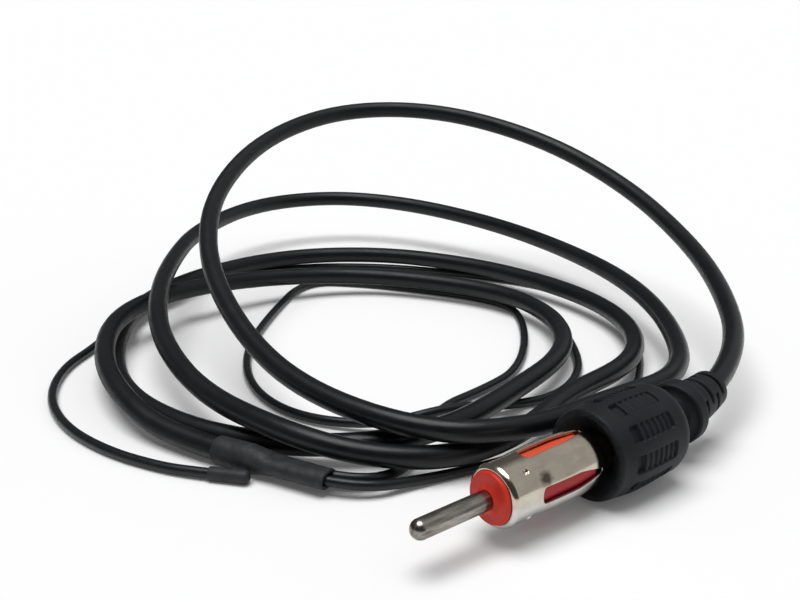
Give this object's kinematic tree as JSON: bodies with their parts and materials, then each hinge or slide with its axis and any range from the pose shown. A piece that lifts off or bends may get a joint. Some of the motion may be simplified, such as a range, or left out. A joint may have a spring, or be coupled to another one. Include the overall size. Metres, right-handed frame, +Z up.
{
  "type": "marine radio antenna",
  "caption": "Soft-wire radio antenna: moulded plug with a slotted barrel and centre pin, loosely coiled coax lead, shrink-sleeved junction and thin antenna wires.",
  "frame": {"origin": "on the floor, under the middle of the plug", "axes": "+X along the plug from its centre pin to its lead, +Y towards the coiled lead, +Z up"},
  "size_m": [0.1465, 0.1742, 0.0439],
  "materials": {
    "pin_nickel": "dull nickel plate over brass",
    "barrel_nickel": "bright nickel plate over brass",
    "insulator_red": "satin moulded plastic",
    "grip_black": "soft moulded vinyl",
    "jacket_black": "satin vinyl jacket",
    "wire_black": "smooth vinyl insulation",
    "shrink_black": "matte shrink tubing",
    "dielectric_white": "foamed plastic",
    "core_copper": "bare copper",
    "braid_copper": "woven copper",
    "ferrule_brass": "plain brass",
    "splice_tinned": "soldered tin"
  },
  "bodies": {
    "root": {"centre_pin": "pin_nickel", "barrel": "barrel_nickel", "insulator": "insulator_red", "grip": "grip_black", "braid_ferrule": "ferrule_brass", "folded_braid": "braid_copper", "plug_dielectric": "dielectric_white", "plug_core": "core_copper", "coax_raised_turns": "jacket_black", "coax_floor_turns": "jacket_black", "junction_sleeve": "shrink_black", "junction_dielectric": "dielectric_white", "junction_core": "core_copper", "braid_tail": "braid_copper", "signal_splice": "splice_tinned", "ground_splice": "splice_tinned", "signal_conductor": "core_copper", "ground_conductor": "core_copper", "signal_wire": "wire_black", "ground_wire": "wire_black", "signal_end_cap": "shrink_black", "ground_end_cap": "shrink_black"}
  },
  "joints": []
}
